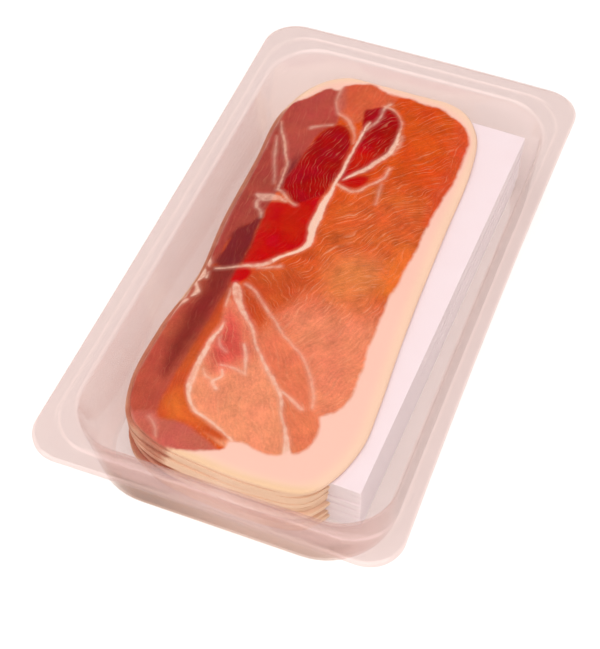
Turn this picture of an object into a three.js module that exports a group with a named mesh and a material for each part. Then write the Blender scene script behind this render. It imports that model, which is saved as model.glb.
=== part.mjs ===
// Sealed pack of sliced dry-cured ham.
//
// A clear thermoformed tray with a flat sealing flange is closed by a clear lidding film. Inside lies
// a stack of ham slices with a white interleaf sheet between each slice and the next. The sheets are
// narrower than the slices on the left and stand out past them on the right, as a white margin.
//
// Millimetres, +Z up. The origin is under the middle of the pack, on the surface that it stands on.
// +Y runs along the length of the pack, towards its far end, and +X to its right.

import * as THREE from 'three';

// ---- driving dimensions --------------------------------------------------------------------------

const FLANGE_WIDTH = 160;
const FLANGE_LENGTH = 280;
const FLANGE_CORNER = 16;
const TRAY_HEIGHT = 42;
const SHEET_GAUGE = 0.9; // wall thickness of the formed tray

const SIDE_LAND = 10.4; // flange between its long edge and the cavity
const END_LAND = 13; // flange between its short edge and the cavity
const CAVITY_CORNER = 24;
const WALL_DRAFT = 2.6; // how far each wall leans in from the rim to the base
const LIP_RADIUS = 2.2; // rounding from the flange into the wall
const BASE_FILLET = 5.5; // rounding from the wall into the base

const BEAD_OFFSET = 3.6; // from the rim of the cavity out to the pressed ring round it
const BEAD_WIDTH = 1.8;
const BEAD_DEPTH = 0.5;
const SKIRT_WIDTH = 1.1; // the cut edge of the flange turns down a little
const SKIRT_DROP = 0.8;

const BOW = { left: 0.8, right: 1.9, near: 1.0, far: -1.1 }; // how far each flange side bends in

const FILM_GAUGE = 0.3;
const FILM_MARGIN = 0.8; // the film stops this far inside the flange edge
const REST_GAP = 0.3; // clearance between pieces that lie on each other

const SHEET_COUNT = 12; // interleaf sheets; there is one slice more
const SLICE_GAUGE = 1.55;
const TOP_SLICE_GAUGE = 1.9;
const INTERLEAF_GAUGE = 0.3;
const LAYER_GAP = 0.275;
const WALL_CLEARANCE = 1.0; // slices stay this far from the wall of the tray

const INTERLEAF = { left: -20, right: 56.2, near: -101.4, far: 118, corner: 1.5, turn: -1.35 };

const FLANK = { from: -30, to: -60, drop: 6.5 }; // the left side of the stack slopes down
const EDGE_ROUND = 0.3; // share of a slice's thickness that its edge rounds off on each face

const CORNER_STEPS = 6;
const LONG_SIDE_STEPS = 4;
const SHORT_SIDE_STEPS = 3;
const FILLET_STEPS = 3;
const INTERLEAF_CORNER_STEPS = 1;
const SLICE_RINGS = [1, 0.88, 0.74, 0.5];
const TOP_SLICE_RINGS = [1, 0.94, 0.84, 0.7, 0.5];

// Outline of the top slice, counterclockwise from its right side.
const SLICE_OUTLINE = [
  [48.5, -82], [48, -60], [45, -30], [42, 0], [41, 40], [40.5, 85],
  [36, 108], [26, 120], [8, 124], [-20, 124], [-49, 117],
  [-58, 95], [-57, 60], [-55, 20], [-54, -15], [-57.5, -50], [-56.5, -82],
  [-49, -100], [-34, -110], [-12, -115], [12, -116], [34, -111], [44, -99],
];

const SLICE_POINTS = SLICE_OUTLINE.length * 2;
const TOP_SLICE_POINTS = SLICE_OUTLINE.length * 3;

const COLOURS = {
  tray: 0xeed8d2,
  film: 0xf6eeec,
  meat: 0xcf5a38,
  topSlice: 0xd8592f,
  interleaf: 0xf7eaec,
};

// ---- small helpers -------------------------------------------------------------------------------

// The same numbers on each run, between -1 and 1.
function makeWobble(seed) {
  let state = seed;
  return () => {
    state = (state * 16807) % 2147483647;
    return (state / 2147483647) * 2 - 1;
  };
}

const smooth = (t) => THREE.MathUtils.smoothstep(t, 0, 1);

// A closed mesh from rings of points with equal counts, each joined to the next, with a fan at each end.
// The rings run counterclockwise seen from above, and the first one faces up.
function loft(rings, firstCentre, lastCentre) {
  const count = rings[0].length;
  const positions = rings.flat().concat([firstCentre, lastCentre]).flatMap((p) => [p.x, p.y, p.z]);
  const indices = [];
  const first = rings.length * count;
  const last = first + 1;
  for (let i = 0; i < count; i += 1) {
    const next = (i + 1) % count;
    indices.push(first, i, next);
    for (let r = 0; r + 1 < rings.length; r += 1) {
      const a = r * count + i;
      const b = r * count + next;
      indices.push(a, a + count, b, b, a + count, b + count);
    }
    indices.push(last, (rings.length - 1) * count + next, (rings.length - 1) * count + i);
  }
  const geometry = new THREE.BufferGeometry();
  geometry.setAttribute('position', new THREE.Float32BufferAttribute(positions, 3));
  geometry.setIndex(indices);
  geometry.computeVertexNormals();
  return geometry;
}

function piece(name, geometry, colour, options = {}) {
  const material = new THREE.MeshStandardMaterial({ color: colour, metalness: 0, roughness: 0.5, ...options });
  const mesh = new THREE.Mesh(geometry, material);
  mesh.name = name;
  return mesh;
}

// ---- the tray ------------------------------------------------------------------------------------

// Points along one side, its end points left out.
function sidePoints(from, to, steps) {
  return Array.from({ length: steps }, (_, i) => from.clone().lerp(to, (i + 1) / (steps + 1)));
}

// A rectangle with round corners at height z. inset is measured from the flange's outline, bow is how
// much of the flange's bend the ring follows.
function trayRing({ insetX, insetY, radius, z, bow = 0 }) {
  const halfX = FLANGE_WIDTH / 2 - insetX;
  const halfY = FLANGE_LENGTH / 2 - insetY;
  const corners = [[1, 1], [-1, 1], [-1, -1], [1, -1]].map(([sx, sy], quarter) => {
    const centre = new THREE.Vector3(sx * (halfX - radius), sy * (halfY - radius), z);
    return Array.from({ length: CORNER_STEPS + 1 }, (_, i) => {
      const angle = (quarter + i / CORNER_STEPS) * (Math.PI / 2);
      return new THREE.Vector3(Math.cos(angle) * radius, Math.sin(angle) * radius, 0).add(centre);
    });
  });
  const ring = corners.flatMap((corner, quarter) => {
    const steps = quarter % 2 === 0 ? SHORT_SIDE_STEPS : LONG_SIDE_STEPS;
    const following = corners[(quarter + 1) % 4];
    return corner.concat(sidePoints(corner[CORNER_STEPS], following[0], steps));
  });
  const archX = (p) => 1 - (p.y / (FLANGE_LENGTH / 2)) ** 2;
  const archY = (p) => 1 - (p.x / (FLANGE_WIDTH / 2)) ** 2;
  return ring.map((p) => new THREE.Vector3(
    p.x - bow * archX(p) * (p.x > 0 ? BOW.right : -BOW.left) * Math.min(1, Math.abs(p.x) / halfX),
    p.y - bow * archY(p) * (p.y > 0 ? BOW.far : -BOW.near) * Math.min(1, Math.abs(p.y) / halfY),
    p.z,
  ));
}

// The cavity's wall line: how far it has moved in from the rim at height z.
const draftAt = (z) => WALL_DRAFT * (1 - z / TRAY_HEIGHT);

function wallRing(z, outward, extraInset = 0) {
  const inset = draftAt(z) + extraInset - outward;
  return trayRing({
    insetX: SIDE_LAND + inset,
    insetY: END_LAND + inset,
    radius: CAVITY_CORNER - inset * 0.5,
    z,
    bow: 0.25,
  });
}

// Rounding of the base: rings from the flat base up to the straight wall, outward by `outward`.
function baseFillet(floorZ, radius, outward) {
  return Array.from({ length: FILLET_STEPS + 1 }, (_, i) => {
    const angle = (i / FILLET_STEPS) * (Math.PI / 2);
    const z = floorZ + radius * (1 - Math.cos(angle));
    return wallRing(z, outward, radius * (1 - Math.sin(angle)));
  });
}

// Rounding of the rim, from the straight wall up and out on to the flange.
function rimLip(topZ, radius, outward) {
  return Array.from({ length: FILLET_STEPS + 1 }, (_, i) => {
    const angle = (i / FILLET_STEPS) * (Math.PI / 2);
    const z = topZ - radius * (1 - Math.sin(angle));
    return wallRing(z, outward + radius * (1 - Math.cos(angle)));
  });
}

// A ring on the flange. across is 0 at the cavity's rim and 1 at the outer edge.
function flangeRing(across, z) {
  const insetX = SIDE_LAND * (1 - across);
  const insetY = END_LAND * (1 - across);
  const radius = THREE.MathUtils.lerp(CAVITY_CORNER, FLANGE_CORNER, across);
  return trayRing({ insetX, insetY, radius, z, bow: THREE.MathUtils.lerp(0.25, 1, across) });
}

// The flange from the rim to its edge, at distances that follow the pressed ring and the skirt.
function flangeRings(drop) {
  const share = (distance) => distance / SIDE_LAND;
  const z = TRAY_HEIGHT - drop;
  return [
    flangeRing(share(BEAD_OFFSET), z),
    flangeRing(share(BEAD_OFFSET + BEAD_WIDTH * 0.3), z - BEAD_DEPTH),
    flangeRing(share(BEAD_OFFSET + BEAD_WIDTH * 0.7), z - BEAD_DEPTH),
    flangeRing(share(BEAD_OFFSET + BEAD_WIDTH), z),
    flangeRing(share(SIDE_LAND - SKIRT_WIDTH), z),
    flangeRing(1, z - SKIRT_DROP),
  ];
}

function trayGeometry() {
  const inside = [
    ...baseFillet(SHEET_GAUGE, BASE_FILLET - SHEET_GAUGE, -SHEET_GAUGE),
    ...rimLip(TRAY_HEIGHT, LIP_RADIUS, -SHEET_GAUGE),
    ...flangeRings(0),
  ];
  const outside = [
    ...baseFillet(0, BASE_FILLET, 0),
    ...rimLip(TRAY_HEIGHT - SHEET_GAUGE, LIP_RADIUS - SHEET_GAUGE * 0.5, 0),
    ...flangeRings(SHEET_GAUGE),
  ];
  const centre = (z) => new THREE.Vector3(0, 0, z);
  return loft([...inside, ...outside.reverse()], centre(SHEET_GAUGE), centre(0));
}

function lidFilmGeometry() {
  const share = 1 - FILM_MARGIN / SIDE_LAND;
  const underside = TRAY_HEIGHT + REST_GAP;
  const rings = [flangeRing(share, underside + FILM_GAUGE), flangeRing(share, underside)];
  const centre = (z) => new THREE.Vector3(0, 0, z);
  return loft(rings, centre(underside + FILM_GAUGE), centre(underside));
}

// ---- the stack -----------------------------------------------------------------------------------

const LAYER_PITCH = SLICE_GAUGE + INTERLEAF_GAUGE + 2 * LAYER_GAP;
const STACK_FLOOR = SHEET_GAUGE + REST_GAP;
const STACK_TOP = STACK_FLOOR + SHEET_COUNT * LAYER_PITCH + TOP_SLICE_GAUGE;

// Height of a level of the stack over a point: the left flank slopes down and the levels crowd
// together there, so that none crosses another.
function levelHeight(x, level) {
  const flank = smooth((FLANK.from - x) / (FLANK.from - FLANK.to));
  const share = (level - STACK_FLOOR) / (STACK_TOP - STACK_FLOOR);
  return level - FLANK.drop * flank * share;
}

// Pulls a point towards the middle of the pack until it is clear of the cavity's wall at height z.
function insideCavity(x, y, z) {
  const fillet = BASE_FILLET * Math.max(0, 1 - Math.sqrt(Math.max(0, z) / BASE_FILLET));
  const inset = draftAt(z) + SHEET_GAUGE + WALL_CLEARANCE + fillet;
  const halfX = FLANGE_WIDTH / 2 - SIDE_LAND - inset;
  const halfY = FLANGE_LENGTH / 2 - END_LAND - inset;
  const radius = CAVITY_CORNER - inset;
  const overshoot = (k) => {
    const px = Math.abs(x * k) - (halfX - radius);
    const py = Math.abs(y * k) - (halfY - radius);
    return Math.hypot(Math.max(px, 0), Math.max(py, 0)) - radius;
  };
  let scale = 1;
  while (overshoot(scale) > 0) scale -= 0.002;
  return [x * scale, y * scale];
}

// One slice: its outline, moved and stretched a little, with its faces on two levels of the stack.
function sliceGeometry({ bottom, top, points, ringShares, wobble, shift }) {
  const curve = new THREE.CatmullRomCurve3(
    SLICE_OUTLINE.map(([x, y]) => new THREE.Vector3(
      x * (1 + 0.008 * wobble()) + shift.x,
      y * (1 + 0.006 * wobble()) + shift.y,
      0,
    )),
    true,
    'centripetal',
  );
  const outline = curve.getPoints(points).slice(0, points).map((p) => insideCavity(p.x, p.y, bottom));
  const rounding = EDGE_ROUND * (top - bottom);
  const face = (share, level, towards) => outline.map(([x, y]) => (
    new THREE.Vector3(x * share, y * share, levelHeight(x * share, level + (share === 1 ? towards : 0)))
  ));
  const up = [...ringShares].reverse().map((share) => face(share, top, -rounding));
  const down = ringShares.map((share) => face(share, bottom, rounding));
  return loft([...up, ...down], new THREE.Vector3(0, 0, top), new THREE.Vector3(0, 0, bottom));
}

// One interleaf sheet: a flat rectangle with its corners just eased, turned and moved slightly in the
// tray. A corner that would meet the round corner of the cavity is pulled in.
function interleafGeometry({ bottom, turn, shift }) {
  const { left, right, near, far, corner } = INTERLEAF;
  const shape = new THREE.Shape();
  shape.absarc(right - corner, near + corner, corner, -Math.PI / 2, 0, false);
  shape.absarc(right - corner, far - corner, corner, 0, Math.PI / 2, false);
  shape.absarc(left + corner, far - corner, corner, Math.PI / 2, Math.PI, false);
  shape.absarc(left + corner, near + corner, corner, Math.PI, Math.PI * 1.5, false);
  const centre = new THREE.Vector2((left + right) / 2, (near + far) / 2);
  const points = shape.getPoints(INTERLEAF_CORNER_STEPS).map((p) => {
    const placed = p.clone().rotateAround(centre, turn).add(shift);
    return new THREE.Vector2(...insideCavity(placed.x, placed.y, bottom));
  });
  const geometry = new THREE.ExtrudeGeometry(new THREE.Shape(points), {
    depth: INTERLEAF_GAUGE, bevelEnabled: false,
  });
  return geometry.translate(0, 0, bottom);
}

function buildStack() {
  const stack = new THREE.Group();
  const wobble = makeWobble(4711);
  for (let i = 0; i < SHEET_COUNT; i += 1) {
    const bottom = STACK_FLOOR + i * LAYER_PITCH;
    const slice = sliceGeometry({
      bottom,
      top: bottom + SLICE_GAUGE,
      points: SLICE_POINTS,
      ringShares: SLICE_RINGS,
      wobble,
      shift: { x: -1.2 + 0.9 * wobble(), y: 1.6 * wobble() },
    });
    stack.add(piece(`ham_slice_${String(i + 1).padStart(2, '0')}`, slice, COLOURS.meat));

    const sheet = interleafGeometry({
      bottom: bottom + SLICE_GAUGE + LAYER_GAP,
      turn: THREE.MathUtils.degToRad(INTERLEAF.turn + 0.2 * wobble()),
      shift: new THREE.Vector2(0.4 * wobble(), 0.6 * wobble()),
    });
    const name = `interleaf_${String(i + 1).padStart(2, '0')}`;
    stack.add(piece(name, sheet, COLOURS.interleaf, { roughness: 0.8 }));
  }
  const bottom = STACK_FLOOR + SHEET_COUNT * LAYER_PITCH;
  const topSlice = sliceGeometry({
    bottom,
    top: bottom + TOP_SLICE_GAUGE,
    points: TOP_SLICE_POINTS,
    ringShares: TOP_SLICE_RINGS,
    wobble: () => 0,
    shift: { x: 0, y: 0 },
  });
  stack.add(piece('ham_slice_top', topSlice, COLOURS.topSlice));
  return stack;
}

// ---- the pack ------------------------------------------------------------------------------------

const pack = new THREE.Group();
const clear = { transparent: true, opacity: 0.4, roughness: 0.15 };
pack.add(piece('tray', trayGeometry(), COLOURS.tray, clear));
pack.add(piece('lid_film', lidFilmGeometry(), COLOURS.film, { ...clear, opacity: 0.2 }));
pack.add(buildStack());

// The bends of the flange leave its outline a little off centre, so the pack is brought back.
const middle = new THREE.Box3().setFromObject(pack).getCenter(new THREE.Vector3());
pack.position.set(-middle.x, -middle.y, 0);

export default pack;
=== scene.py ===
"""Sealed clear tray of sliced dry-cured ham: its looks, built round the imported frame.

Every length in the classes is in millimetres, in the pack's own frame: +Z up, +Y along the pack to
its far end, the origin under the middle of the base. Meshes are turned to metres as they are made.
"""

import logging
import math
from dataclasses import dataclass, field
from enum import Enum
from typing import Callable, Mapping, Sequence

import bmesh
import bpy
import numpy as np
from mathutils import Matrix, Vector


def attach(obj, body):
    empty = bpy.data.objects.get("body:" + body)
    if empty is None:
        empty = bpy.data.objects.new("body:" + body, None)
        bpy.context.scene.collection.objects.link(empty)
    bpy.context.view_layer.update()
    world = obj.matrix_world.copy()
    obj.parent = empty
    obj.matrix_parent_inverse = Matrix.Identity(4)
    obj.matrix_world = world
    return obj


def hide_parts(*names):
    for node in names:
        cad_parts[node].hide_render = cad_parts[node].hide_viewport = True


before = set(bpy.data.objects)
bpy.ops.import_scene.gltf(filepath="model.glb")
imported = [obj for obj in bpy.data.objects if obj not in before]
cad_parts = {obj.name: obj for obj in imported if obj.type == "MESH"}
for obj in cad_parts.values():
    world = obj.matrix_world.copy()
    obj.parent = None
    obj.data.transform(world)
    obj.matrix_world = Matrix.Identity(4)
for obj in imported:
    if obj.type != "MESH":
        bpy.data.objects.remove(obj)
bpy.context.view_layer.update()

log = logging.getLogger("ham_pack")

MM = 0.001
BODY = "root"

# The pack's box is centred on the origin, and its tray was drawn this far off it, along X and Y.
CENTRING = np.array([0.1185, -0.7300])

Colour = tuple[float, float, float, float]
Ring = np.ndarray
Socket = bpy.types.NodeSocket


# ---- small helpers ---------------------------------------------------------------------------------


def linear(code: str) -> Colour:
    """Turns an sRGB hex colour into the linear values that shaders take.

    Args:
        code: Six hex digits.

    Returns:
        Linear red, green and blue with an alpha of 1.
    """
    parts = [int(code[i:i + 2], 16) / 255 for i in (0, 2, 4)]
    red, green, blue = (c / 12.92 if c <= 0.04045 else ((c + 0.055) / 1.055) ** 2.4 for c in parts)
    return red, green, blue, 1.0


def blend(first: np.ndarray, second: Sequence[float], share: np.ndarray) -> np.ndarray:
    """Mixes colours, one row each, with another by a share of it."""
    return first * (1 - share) + np.asarray(second) * share


def smooth(share: np.ndarray) -> np.ndarray:
    """Eases 0 to 1, flat at both ends."""
    held = np.clip(share, 0.0, 1.0)
    return held * held * (3 - 2 * held)


class NodeMaker:
    """Adds nodes to one tree, with a short word for each kind that comes often."""

    def __init__(self, tree: bpy.types.NodeTree) -> None:
        """Empties a tree and starts on it.

        Args:
            tree: The node tree of a material or a world.
        """
        tree.nodes.clear()
        self.tree = tree

    def add(
        self, kind: str, inputs: Mapping[str | int, object] | None = None, **settings: object,
    ) -> bpy.types.Node:
        """Adds one node with its settings and its inputs.

        Args:
            kind: Blender's name of the node's type, without its first word.
            inputs: A value or an output socket for each input that isn't left alone.
            **settings: The node's own settings, such as its operation.

        Returns:
            The new node.
        """
        node = self.tree.nodes.new(f"ShaderNode{kind}")
        for name, value in settings.items():
            setattr(node, name, value)
        for name, value in (inputs or {}).items():
            if isinstance(value, Socket):
                self.tree.links.new(value, node.inputs[name])
            else:
                node.inputs[name].default_value = value
        return node

    def place(self) -> Socket:
        """The place on the piece, in metres."""
        return self.add("TexCoord").outputs["Object"]

    def maths(self, operation: str, *values: object, clamped: bool = False) -> Socket:
        """One step of arithmetic."""
        inputs = dict(enumerate(values))
        return self.add("Math", inputs, operation=operation, use_clamp=clamped).outputs[0]

    def remap(
        self, value: object, start: float, end: float, low: float = 0.0, high: float = 1.0,
        eased: bool = False,
    ) -> Socket:
        """Maps the values from start to end on to those from low to high, and holds both ends."""
        return self.add("MapRange", {
            "Value": value, "From Min": start, "From Max": end, "To Min": low, "To Max": high,
        }, interpolation_type="SMOOTHSTEP" if eased else "LINEAR").outputs["Result"]

    def noise(self, place: Socket, size: float, detail: float, roughness: float = 0.5) -> Socket:
        """Noise whose lumps are about the given size, in the unit of the place."""
        return self.add("TexNoise", {
            "Vector": place, "Scale": 1 / size, "Detail": detail, "Roughness": roughness,
        }).outputs["Fac"]

    def mix(self, share: object, first: object, second: object) -> Socket:
        """Mixes two colours by a share of the second."""
        return self.add("Mix", {
            "Factor": share, "A": first, "B": second,
        }, data_type="RGBA").outputs["Result"]

    def split(self, vector: Socket) -> list[Socket]:
        """Splits a vector into its three values."""
        return list(self.add("SeparateXYZ", {0: vector}).outputs)

    def relief(self, height: Socket, depth: float, strength: float = 1.0) -> Socket:
        """The surface's direction, bent by a height of the given depth in millimetres."""
        return self.add("Bump", {
            "Height": height, "Distance": depth * MM, "Strength": strength,
        }).outputs["Normal"]


def new_material(name: str) -> tuple[bpy.types.Material, NodeMaker]:
    """Makes an empty node material.

    Args:
        name: The material's name.

    Returns:
        The material and the maker of its nodes.
    """
    material = bpy.data.materials.new(name)
    material.use_nodes = True
    return material, NodeMaker(material.node_tree)


def put_in_scene(name: str, data: bpy.types.ID) -> bpy.types.Object:
    """Puts a mesh, a light or a camera into the scene.

    Args:
        name: The object's name.
        data: What it holds.

    Returns:
        The object.
    """
    item = bpy.data.objects.new(name, data)
    bpy.context.scene.collection.objects.link(item)
    return item


def waves(x: np.ndarray, y: np.ndarray, length: float, seed: int, count: int = 7) -> np.ndarray:
    """Smooth seeded unevenness over a surface, about -1 to 1.

    Args:
        x: Places along X.
        y: Places along Y.
        length: The usual distance from crest to crest.
        seed: Chooses the pattern.
        count: How many plain waves are added up.

    Returns:
        One height for each place.
    """
    random = np.random.default_rng(seed)
    total = np.zeros_like(x)
    for _ in range(count):
        heading, phase = random.uniform(0, 2 * math.pi, 2)
        number = 2 * math.pi / (length * random.uniform(0.7, 1.5))
        total += np.sin(number * (x * math.cos(heading) + y * math.sin(heading)) + phase)
    return total / math.sqrt(count * 1.4)


def curve_through(points: Sequence[Sequence[float]], closed: bool, steps: int) -> np.ndarray:
    """Draws a centripetal Catmull-Rom curve through points of any number of values.

    Args:
        points: What the curve passes through. The first two values are its place.
        closed: Whether the end joins the start.
        steps: Points on each stretch.

    Returns:
        The curve's points, one row each.
    """
    knots = np.asarray(points, float)
    if closed:
        padded = np.vstack([knots[-1:], knots, knots[:2]])
    else:
        padded = np.vstack([2 * knots[0] - knots[1], knots, 2 * knots[-1] - knots[-2]])
    t = (np.arange(steps) / steps)[:, None]
    pieces = []
    for p0, p1, p2, p3 in zip(padded, padded[1:], padded[2:], padded[3:]):
        d0, d1, d2 = (math.sqrt(math.dist(a[:2], b[:2])) for a, b in ((p0, p1), (p1, p2), (p2, p3)))
        leave = ((p1 - p0) / d0 - (p2 - p0) / (d0 + d1) + (p2 - p1) / d1) * d1
        arrive = ((p2 - p1) / d1 - (p3 - p1) / (d1 + d2) + (p3 - p2) / d2) * d1
        pieces.append(
            p1 + leave * t
            + (3 * (p2 - p1) - 2 * leave - arrive) * t ** 2
            + (2 * (p1 - p2) + leave + arrive) * t ** 3
        )
    drawn = np.vstack(pieces)
    return drawn if closed else np.vstack([drawn, knots[-1:]])


def to_segment(
    x: np.ndarray, y: np.ndarray, start: Sequence[float], end: Sequence[float],
) -> tuple[np.ndarray, np.ndarray]:
    """Finds the nearest place on a straight segment.

    Args:
        x: Places along X.
        y: Places along Y.
        start: Where the segment starts.
        end: Where it ends.

    Returns:
        How far along the segment the nearest place lies, as a share, and how far away it is.
    """
    dx, dy = end[0] - start[0], end[1] - start[1]
    shares = ((x - start[0]) * dx + (y - start[1]) * dy) / max(dx * dx + dy * dy, 1e-12)
    along = np.clip(shares, 0, 1)
    return along, np.hypot(x - start[0] - along * dx, y - start[1] - along * dy)


def near_to(x: np.ndarray, y: np.ndarray, outline: np.ndarray, reach: float) -> np.ndarray:
    """Picks the places in an outline's box, made larger all round by a reach."""
    low, high = outline[:, :2].min(0) - reach, outline[:, :2].max(0) + reach
    return (x > low[0]) & (x < high[0]) & (y > low[1]) & (y < high[1])


def depth_inside(x: np.ndarray, y: np.ndarray, outline: np.ndarray, reach: float = 1e9) -> np.ndarray:
    """Measures how deep each place lies inside a closed outline.

    Args:
        x: Places along X.
        y: Places along Y.
        outline: The outline's points.
        reach: Places further outside than this aren't measured.

    Returns:
        The distance to the outline, below 0 outside it.
    """
    near = near_to(x, y, outline, reach)
    px, py = x[near], y[near]
    best = np.full(px.shape, np.inf)
    inside = np.zeros(px.shape, bool)
    for (ax, ay), (bx, by) in zip(outline, np.roll(outline, -1, 0)):
        best = np.minimum(best, to_segment(px, py, (ax, ay), (bx, by))[1])
        if ay != by:
            inside ^= ((ay > py) != (by > py)) & (px < (py - ay) * (bx - ax) / (by - ay) + ax)
    depth = np.full(x.shape, -reach)
    depth[near] = np.where(inside, best, -best)
    return depth


def grow_rim(
    skin: bmesh.types.BMesh, edges: Sequence[bmesh.types.BMEdge],
) -> tuple[set[bmesh.types.BMVert], list[bmesh.types.BMEdge]]:
    """Extrudes a loop of edges, and gives the new loop's corners and edges."""
    grown = bmesh.ops.extrude_edge_only(skin, edges=edges)["geom"]
    fresh = {item for item in grown if isinstance(item, bmesh.types.BMVert)}
    return fresh, [e for e in grown if isinstance(e, bmesh.types.BMEdge) and fresh.issuperset(e.verts)]


def draw_skin(rings: Sequence[Ring]) -> bmesh.types.BMesh:
    """Extrudes one closed loop of edges from ring to ring, and closes both ends by a face.

    Args:
        rings: Points of each ring, equally many, in millimetres.

    Returns:
        The skin, with its faces pointing out.
    """
    skin = bmesh.new()
    place = skin.verts.layers.int.new("place")
    corners = [skin.verts.new(point * MM) for point in rings[0]]
    for number, corner in enumerate(corners):
        corner[place] = number
    edges = [skin.edges.new(pair) for pair in zip(corners, corners[1:] + corners[:1])]
    bmesh.ops.contextual_create(skin, geom=edges)
    for ring in rings[1:]:
        fresh, edges = grow_rim(skin, edges)
        for corner in fresh:
            corner.co = ring[corner[place]] * MM
    bmesh.ops.contextual_create(skin, geom=edges)
    bmesh.ops.recalc_face_normals(skin, faces=skin.faces)
    return skin


def finish_piece(
    mesh: bmesh.types.BMesh,
    name: str,
    material: bpy.types.Material,
    nodes: Sequence[str],
    crease: float = 40,
) -> bpy.types.Object:
    """Turns a bmesh into a piece of the pack that stands for CAD nodes.

    Args:
        mesh: The finished bmesh, which is freed.
        name: The piece's name.
        material: Its finish.
        nodes: The CAD nodes that it stands for.
        crease: Edges that turn by more than this many degrees stay sharp.

    Returns:
        The piece.
    """
    data = bpy.data.meshes.new(name)
    mesh.to_mesh(data)
    mesh.free()
    data.shade_smooth()
    data.set_sharp_from_angle(angle=math.radians(crease))
    data.materials.append(material)
    piece = put_in_scene(name, data)
    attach(piece, BODY)
    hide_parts(*nodes)
    log.info("%s: %d faces", name, len(data.polygons))
    return piece


# ---- finishes --------------------------------------------------------------------------------------


@dataclass(frozen=True)
class ClearSheet:
    """Clear polyester sheet: a faint haze and tint, and the room mirrored at a glancing angle."""

    name: str
    tint: str  # what one surface lets through of white light
    milk: str = "EAD8D2"
    haze: float = 0.0  # share of the light that one surface scatters
    shine: str = "F4EEEC"
    roughness: float = 0.09
    ior: float = 1.57  # amorphous polyester
    ripple: float = 18.0  # crest to crest of the forming ripples
    ripple_depth: float = 0.05
    foot_shade: str | None = None  # tint of the painted shade at the foot of the near wall

    def material(self) -> bpy.types.Material:
        """Builds the node material.

        Returns:
            The material.
        """
        material, nodes = new_material(self.name)
        place = nodes.place()
        bent = nodes.relief(nodes.noise(place, self.ripple * MM, 1.5), self.ripple_depth)
        # painted shade: the tint darkens at the foot of the near wall, under the flange and beside the
        # stack
        tint = self._foot_shaded(nodes, place) if self.foot_shade else linear(self.tint)
        clear = nodes.add("BsdfTransparent", {"Color": tint})
        milky = nodes.add("BsdfDiffuse", {"Color": linear(self.milk)})
        passed = nodes.add("MixShader", {
            0: self.haze, 1: clear.outputs["BSDF"], 2: milky.outputs["BSDF"],
        })
        gloss = nodes.add("BsdfPrincipled", {
            "Base Color": linear(self.shine), "Metallic": 1.0, "Roughness": self.roughness,
            "Normal": bent,
        })
        facing = nodes.add("LayerWeight", {"Blend": 0.5, "Normal": bent}).outputs["Facing"]
        # Schlick's form, the same from both sides of the sheet.
        straight = ((self.ior - 1) / (self.ior + 1)) ** 2
        glancing = nodes.maths("POWER", facing, 5.0)
        mirrored = nodes.maths("MULTIPLY_ADD", glancing, 1 - straight, straight)
        mixed = nodes.add("MixShader", {
            0: mirrored, 1: passed.outputs["Shader"], 2: gloss.outputs["BSDF"],
        })
        # Light on its way to the food passes freely: only what is seen through the sheet is tinted.
        path = nodes.add("LightPath").outputs
        lighting = nodes.maths("MAXIMUM", path["Is Shadow Ray"], path["Is Diffuse Ray"])
        free = nodes.add("BsdfTransparent")
        shown = nodes.add("MixShader", {
            0: lighting, 1: mixed.outputs["Shader"], 2: free.outputs["BSDF"],
        })
        nodes.add("OutputMaterial", {"Surface": shown.outputs["Shader"]})
        return material

    def _foot_shaded(self, nodes: NodeMaker, place: Socket) -> Socket:
        """The sheet's tint, darkened by painted shade at the foot of the near wall, where the ham's near
        end lies.
        """
        x, y, z = nodes.split(place)
        share: float | Socket = 1.0
        for value, start, end, low, high, eased in (
            (z, 21, 18, 0.0, 1.0, True),  # it starts below the top of the stack
            (y, -117, -124, 0.0, 1.0, True),  # on the near wall
            (z, 0, 18, 0.85, 1.0, False),  # it thins a little towards the base
            (x, -30, 5, 1.0, 0.52, False),  # and to the right
        ):
            part = nodes.remap(value, start * MM, end * MM, low, high, eased)
            share = nodes.maths("MULTIPLY", share, part)
        return nodes.mix(share, linear(self.tint), linear(self.foot_shade))


@dataclass(frozen=True)
class PaperLeaf:
    """White greaseproof interleaf paper: matt, with a faint cloudy formation and a fine tooth."""

    name: str = "interleaf_paper"
    white: str = "F3E2E5"
    cloud: str = "EFDADC"
    side: str = "FFF2EE"  # painted light: the cut sides of the stacked sheets are painted paler, for the light that scatters through them
    cloud_size: float = 14.0
    tooth_size: float = 0.5  # drawn coarser than real paper fibres, which would not show

    def material(self) -> bpy.types.Material:
        """Builds the node material.

        Returns:
            The material.
        """
        material, nodes = new_material(self.name)
        place = nodes.place()
        clouds = nodes.noise(place, self.cloud_size * MM, 3.0)
        faces = nodes.mix(clouds, linear(self.white), linear(self.cloud))
        # painted light: faces that stand upright take the paler side colour
        level = nodes.split(nodes.add("NewGeometry").outputs["True Normal"])[2]
        colour = nodes.mix(nodes.remap(level, 0.3, 0.7), linear(self.side), faces)
        paper = nodes.add("BsdfPrincipled", {
            "Base Color": colour, "Roughness": 0.75, "Specular IOR Level": 0.3,
            "Normal": nodes.relief(nodes.noise(place, self.tooth_size * MM, 2.0), 0.03, 0.4),
        })
        nodes.add("OutputMaterial", {"Surface": paper.outputs["BSDF"]})
        return material


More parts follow.
